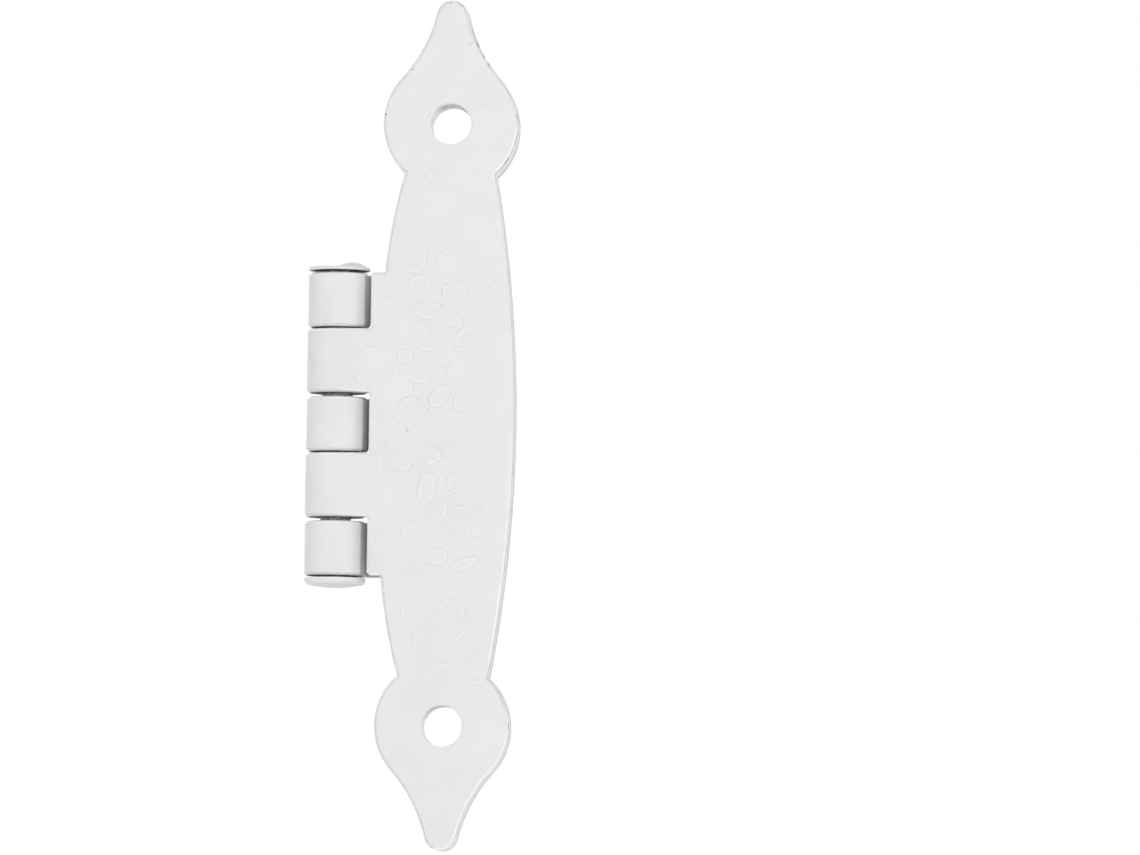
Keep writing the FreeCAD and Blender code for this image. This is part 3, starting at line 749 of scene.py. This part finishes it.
def clouded(tree, surface, paint):
    """Paint with a slightly uneven tone."""
    tint = node(tree, "ShaderNodeValToRGB", (-900, 300))
    low, high = tint.color_ramp.elements
    low.position, high.position = 0.3, 0.7
    low.color = [channel * 0.975 for channel in paint] + [1.0]
    high.color = [min(1.0, channel * 1.015) for channel in paint] + [1.0]
    put(tree, tint.inputs["Fac"], speckle(tree, (-1100, 300), surface, CLOUD_SCALE, 4.0))
    return tint.outputs["Color"]


def hammered(tree, colour, crease_shade, rim):
    """Colour with painted shade in the grooves round the hammer marks and a painted highlight on their
    rims.
    """
    tone = node(tree, "ShaderNodeAttribute", (-1100, 0), attribute_name="rim_shade_highlight").outputs["Fac"]
    crease_shaded = blended(tree, (-600, 200), ranged(tree, (-900, 0), tone, 0.0, -1.0), colour, crease_shade)
    return blended(tree, (-450, 200), ranged(tree, (-900, -250), tone, 0.0, 1.0), crease_shaded, rim)


def chipped(tree, surface, colour, primer, chips):
    """Colour with primer at the chips, each a centre and its reach along the three axes."""
    nearest = None
    for row, (centre, radii) in enumerate(chips):
        level = -500 - 160 * row
        away = node(tree, "ShaderNodeVectorMath", (-1100, level), operation="SUBTRACT")
        put(tree, away.inputs[0], surface)
        put(tree, away.inputs[1], centre)
        scaled = node(tree, "ShaderNodeVectorMath", (-950, level), operation="MULTIPLY")
        put(tree, scaled.inputs[0], away.outputs["Vector"])
        put(tree, scaled.inputs[1], [1.0 / radius for radius in radii])
        length = node(tree, "ShaderNodeVectorMath", (-800, level), operation="LENGTH")
        put(tree, length.inputs[0], scaled.outputs["Vector"])
        if nearest is None:
            nearest = length.outputs["Value"]
        else:
            nearest = reckon(tree, (-650, level), "MINIMUM", nearest, length.outputs["Value"])
    ragged = speckle(tree, (-1100, -300), surface, CHIP_SCALE, 3.0)
    rough = reckon(tree, (-450, -400), "ADD", nearest, ragged)
    return blended(tree, (-300, 200), ranged(tree, (-300, -400), rough, *CHIP_EDGE), colour, primer)


def covered_and_shaded(tree, surface, colour, steel_and_shade, edge):
    """Colour with the dark of bare metal as painted shade in the gaps and in the notches beside the
    knuckles, and with the edge's colour as painted highlight where the cover is over 1."""
    cover_and_painted_light = node(tree, "ShaderNodeAttribute", (-300, 700), attribute_name="cover_and_painted_light").outputs["Fac"]
    parts = node(tree, "ShaderNodeSeparateXYZ", (-600, 900))
    put(tree, parts.inputs["Vector"], surface)
    # Painted shade in the notches beside the knuckles, as dark as bare metal
    notch_shade = None
    for row, (axis, outside, inside) in enumerate(NOTCH_SHADE_EDGES):
        level = 900 + 260 * row
        share = ranged(tree, (-400, level), parts.outputs[axis], outside * MM, inside * MM,
                       interpolation_type="SMOOTHSTEP")
        if notch_shade is None:
            notch_shade = share
        else:
            notch_shade = reckon(tree, (-200, level), "MULTIPLY", notch_shade, share)
    mottle = speckle(tree, (-600, 600), surface, MOTTLE_SCALE, 3.0)
    around = ranged(tree, (-400, 600), mottle, 0.3, 0.7, -0.5, 0.5, clamp=False)
    bare_and_shaded = reckon(tree, (-200, 700), "SUBTRACT", 1.0, cover_and_painted_light)
    patchy = reckon(tree, (-100, 600), "MULTIPLY_ADD", around, bare_and_shaded, cover_and_painted_light)
    left = reckon(tree, (0, 900), "SUBTRACT", patchy, notch_shade, use_clamp=True)
    # The dark of bare metal as painted shade where the cover is low and in the notches
    painted = blended(tree, (150, 400), left, steel_and_shade, colour)
    # Painted highlight where the cover is over 1
    return blended(tree, (350, 400), ranged(tree, (150, 700), cover_and_painted_light, 1.0, 2.0), painted, edge)


def paint_material(name, with_marks, chips):
    """White paint on steel: slight unevenness, painted shade in the creases and painted highlight on the
    rims of the hammer marks, painted shade in the gaps, painted highlights on some edges, primer where it
    is chipped.
    """
    colours = bpy.context.scene.hinge_colours
    crease_shade, rim, primer, steel_and_shade, edge = (
        [*colour, 1.0]
        for colour in (colours.crease_shade, colours.rim, colours.primer, colours.steel_and_shade, colours.edge))
    material = bpy.data.materials.new(name)
    material.use_nodes = True
    tree = material.node_tree
    shader = tree.nodes["Principled BSDF"]
    shader.inputs["Roughness"].default_value = 0.5
    shader.inputs["Coat Weight"].default_value = 0.12
    shader.inputs["Coat Roughness"].default_value = 0.2
    surface = node(tree, "ShaderNodeTexCoord", (-1400, 0)).outputs["Object"]
    colour = clouded(tree, surface, colours.paint)
    if with_marks:
        colour = hammered(tree, colour, crease_shade, rim)
    if chips:
        colour = chipped(tree, surface, colour, primer, chips)
    put(tree, shader.inputs["Base Color"], covered_and_shaded(tree, surface, colour, steel_and_shade, edge))

    # The fine skin of thick paint
    bump = node(tree, "ShaderNodeBump", (-300, -900))
    bump.inputs["Strength"].default_value = 0.35
    bump.inputs["Distance"].default_value = 0.012 * MM
    put(tree, bump.inputs["Height"], speckle(tree, (-600, -900), surface, SKIN_SCALE, 3.0))
    put(tree, shader.inputs["Normal"], bump.outputs["Normal"])
    return material


def finish_piece(piece, material, body, replaced):
    """Paints a piece and hangs it on its body."""
    piece.data.materials.clear()
    piece.data.materials.append(material)
    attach(piece, body)
    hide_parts(replaced)


def dress_leaf(node_name, piece_name, outward, turn, chips, body):
    """Cuts the hammered relief into both faces of a leaf and paints it."""
    low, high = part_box(node_name)
    outer_y = low.y if outward < 0 else 0.0
    inner_y = outer_y - outward * SHEET
    turn_x, turn_z = turn
    piece = copy_of_node(node_name, piece_name)
    fill_edges(piece, outer_y, outward)
    faces = (("_outer", outer_y, outward, OUTER_START, turn_z),
             ("_inner", inner_y, -outward, INNER_START, -turn_z))
    for ending, face_y, facing, start, face_turn_z in faces:
        cutter = hammer_cutter(piece_name + ending, face_y, facing, start, high.x + CUTTER_OVERHANG,
                               high.z + CUTTER_OVERHANG, turn_x, face_turn_z)
        cut(piece, cutter)
    store_rim_shading(piece, [(face_y, start[0], turn_x, face_turn_z)
                       for ending, face_y, facing, start, face_turn_z in faces])
    store_cover_and_light(piece, (outer_y, inner_y))
    smooth(piece)
    material = paint_material(piece_name + "_paint", True, chips)
    finish_piece(piece, material, body, node_name)


def light_world(settings):
    """Even light from all round, and white where the camera looks."""
    world = bpy.data.worlds.new("studio")
    bpy.context.scene.world = world
    world.use_nodes = True
    tree = world.node_tree
    tree.nodes.clear()
    ambient = node(tree, "ShaderNodeBackground", (-250, -200))
    ambient.inputs["Strength"].default_value = settings.ambient
    ambient.inputs["Color"].default_value = WHITE
    white = node(tree, "ShaderNodeBackground", (-250, -350))
    white.inputs["Color"].default_value = WHITE
    mixed = node(tree, "ShaderNodeMixShader", (0, 0))
    put(tree, mixed.inputs[0], looked_at(tree))
    put(tree, mixed.inputs[1], ambient.outputs["Background"])
    put(tree, mixed.inputs[2], white.outputs["Background"])
    output = node(tree, "ShaderNodeOutputWorld", (200, 0))
    put(tree, output.inputs["Surface"], mixed.outputs["Shader"])


def lay_floor(settings, colour):
    """Pale floor that glows where the camera looks, most where it runs out of sight."""
    bpy.ops.object.select_all(action="DESELECT")
    bpy.ops.mesh.primitive_plane_add(size=FLOOR_SIZE, location=(0.0, 0.0, FLOOR_LEVEL))
    floor = bpy.context.object
    floor.name = "floor"
    material = bpy.data.materials.new("floor_pale")
    material.use_nodes = True
    tree = material.node_tree
    shader = tree.nodes["Principled BSDF"]
    shader.inputs["Base Color"].default_value = [*colour, 1.0]
    shader.inputs["Roughness"].default_value = 0.8
    shader.inputs["Emission Color"].default_value = WHITE
    away = node(tree, "ShaderNodeVectorMath", (-600, -250), operation="LENGTH")
    put(tree, away.inputs[0], node(tree, "ShaderNodeTexCoord", (-800, -250)).outputs["Object"])
    glow = ranged(tree, (-450, -250), away.outputs["Value"], *GLOW_REACH,
                  settings.floor_glow, settings.far_glow, interpolation_type="SMOOTHSTEP")
    added = reckon(tree, (-250, -100), "MULTIPLY", looked_at(tree), glow)
    put(tree, shader.inputs["Emission Strength"], added)
    floor.data.materials.append(material)


def add_softboxes(settings):
    """Area lights round the hinge, turned to its middle."""
    for name, azimuth, elevation, width, height, share in SOFTBOXES:
        way = direction(math.radians(azimuth), math.radians(elevation))
        bpy.ops.object.light_add(type="AREA", location=CENTRE + SOFTBOX_DISTANCE * way)
        lamp = bpy.context.object
        lamp.name = name
        lamp.data.shape = "RECTANGLE"
        lamp.data.size = width
        lamp.data.size_y = height
        lamp.data.energy = share * settings.softbox_power
        lamp.visible_camera = False
        lamp.visible_glossy = False
        lamp.rotation_euler = (-way).to_track_quat("-Z", "Y").to_euler()


def add_camera(settings):
    """The camera at the photograph's viewing angle, with the hinge where it is in the photograph."""
    back = direction(settings.azimuth, settings.elevation)
    bpy.ops.object.camera_add(location=CENTRE + back * settings.distance)
    camera = bpy.context.object
    camera.name = "camera"
    camera.data.sensor_width = 36.0
    focal = PIXELS_PER_MM * settings.distance / MM
    camera.data.lens = focal * camera.data.sensor_width / PHOTO_WIDTH
    yaw = math.atan((PHOTO_CENTRE[0] - HINGE_PIXEL[0]) / focal)
    pitch = math.atan((PHOTO_CENTRE[1] - HINGE_PIXEL[1]) / focal)
    facing = (-back).to_track_quat("-Z", "Y").to_matrix()
    turned = (facing @ Matrix.Rotation(settings.roll, 3, "Z")
              @ Matrix.Rotation(-yaw, 3, "Y") @ Matrix.Rotation(-pitch, 3, "X"))
    camera.rotation_euler = turned.to_euler()
    camera.data.clip_start = 0.05
    camera.data.clip_end = 20.0
    bpy.context.scene.camera = camera


class HINGE_OT_front_leaf(bpy.types.Operator):
    """Hammered front leaf with its two knuckles"""
    bl_idname = "butterfly_hinge.front_leaf"
    bl_label = "Front Leaf"

    def execute(self, context):
        face_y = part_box("front_leaf")[0].y
        chips = []
        for across, down, half_width, half_height, depth in CHIPS:
            x, z = photo_point(across, down)
            reach = CHIP_SHARE * depth * MM if depth else CHIP_REACH
            chips.append(((x, face_y + depth * MM, z), (half_width * MM, reach, half_height * MM)))
        dress_leaf("front_leaf", "front_leaf_hammered", -1, (1, 1), chips, "front")
        return {"FINISHED"}


class HINGE_OT_back_leaf(bpy.types.Operator):
    """Hammered back leaf with its three knuckles"""
    bl_idname = "butterfly_hinge.back_leaf"
    bl_label = "Back Leaf"

    def execute(self, context):
        dress_leaf("back_leaf", "back_leaf_hammered", 1, (1, -1), [], "back")
        return {"FINISHED"}


class HINGE_OT_pin(bpy.types.Operator):
    """Painted pin with its domed foot and peened top"""
    bl_idname = "butterfly_hinge.pin"
    bl_label = "Pin"

    def execute(self, context):
        piece = copy_of_node("hinge_pin", "hinge_pin_painted")
        store_cover_and_light(piece, None)
        bevel = piece.modifiers.new("Rounding", "BEVEL")
        bevel.width = PIN_ROUNDING
        bevel.segments = 3
        bevel.limit_method = "ANGLE"
        bevel.angle_limit = math.radians(PIN_ANGLE)
        bpy.ops.object.modifier_apply(modifier=bevel.name)
        smooth(piece)
        material = paint_material("pin_paint", False, [])
        finish_piece(piece, material, "back", "hinge_pin")
        return {"FINISHED"}


class HINGE_OT_stage(bpy.types.Operator):
    """White surroundings, pale floor, softboxes and the camera"""
    bl_idname = "butterfly_hinge.stage"
    bl_label = "Stage"

    def execute(self, context):
        settings = context.scene.hinge_stage
        light_world(settings)
        lay_floor(settings, context.scene.hinge_colours.floor)
        add_softboxes(settings)
        add_camera(settings)
        context.scene.view_settings.view_transform = "Standard"
        return {"FINISHED"}


STEPS = (HINGE_OT_stage, HINGE_OT_front_leaf, HINGE_OT_back_leaf, HINGE_OT_pin)


class HINGE_PT_panel(bpy.types.Panel):
    """Lists the hinge's pieces, sizes and colours"""
    bl_idname = "HINGE_PT_panel"
    bl_label = "Butterfly Hinge"
    bl_space_type = "VIEW_3D"
    bl_region_type = "UI"
    bl_category = "Hinge"

    def draw(self, context):
        layout = self.layout
        for step in STEPS:
            layout.operator(step.bl_idname)
        for group in (context.scene.hinge_leaf, context.scene.hinge_colours, context.scene.hinge_stage):
            for key in group.bl_rna.properties.keys():
                if key not in ("rna_type", "name"):
                    layout.prop(group, key)


CLASSES = (LeafSizes, PaintColours, StageSettings, *STEPS, HINGE_PT_panel)


def register():
    for kind in CLASSES:
        bpy.utils.register_class(kind)
    bpy.types.Scene.hinge_leaf = PointerProperty(type=LeafSizes)
    bpy.types.Scene.hinge_colours = PointerProperty(type=PaintColours)
    bpy.types.Scene.hinge_stage = PointerProperty(type=StageSettings)


def unregister():
    del bpy.types.Scene.hinge_leaf
    del bpy.types.Scene.hinge_colours
    del bpy.types.Scene.hinge_stage
    for kind in reversed(CLASSES):
        bpy.utils.unregister_class(kind)


def main():
    register()
    bpy.ops.butterfly_hinge.stage()
    bpy.ops.butterfly_hinge.front_leaf()
    bpy.ops.butterfly_hinge.back_leaf()
    bpy.ops.butterfly_hinge.pin()


if __name__ == "__main__":
    main()
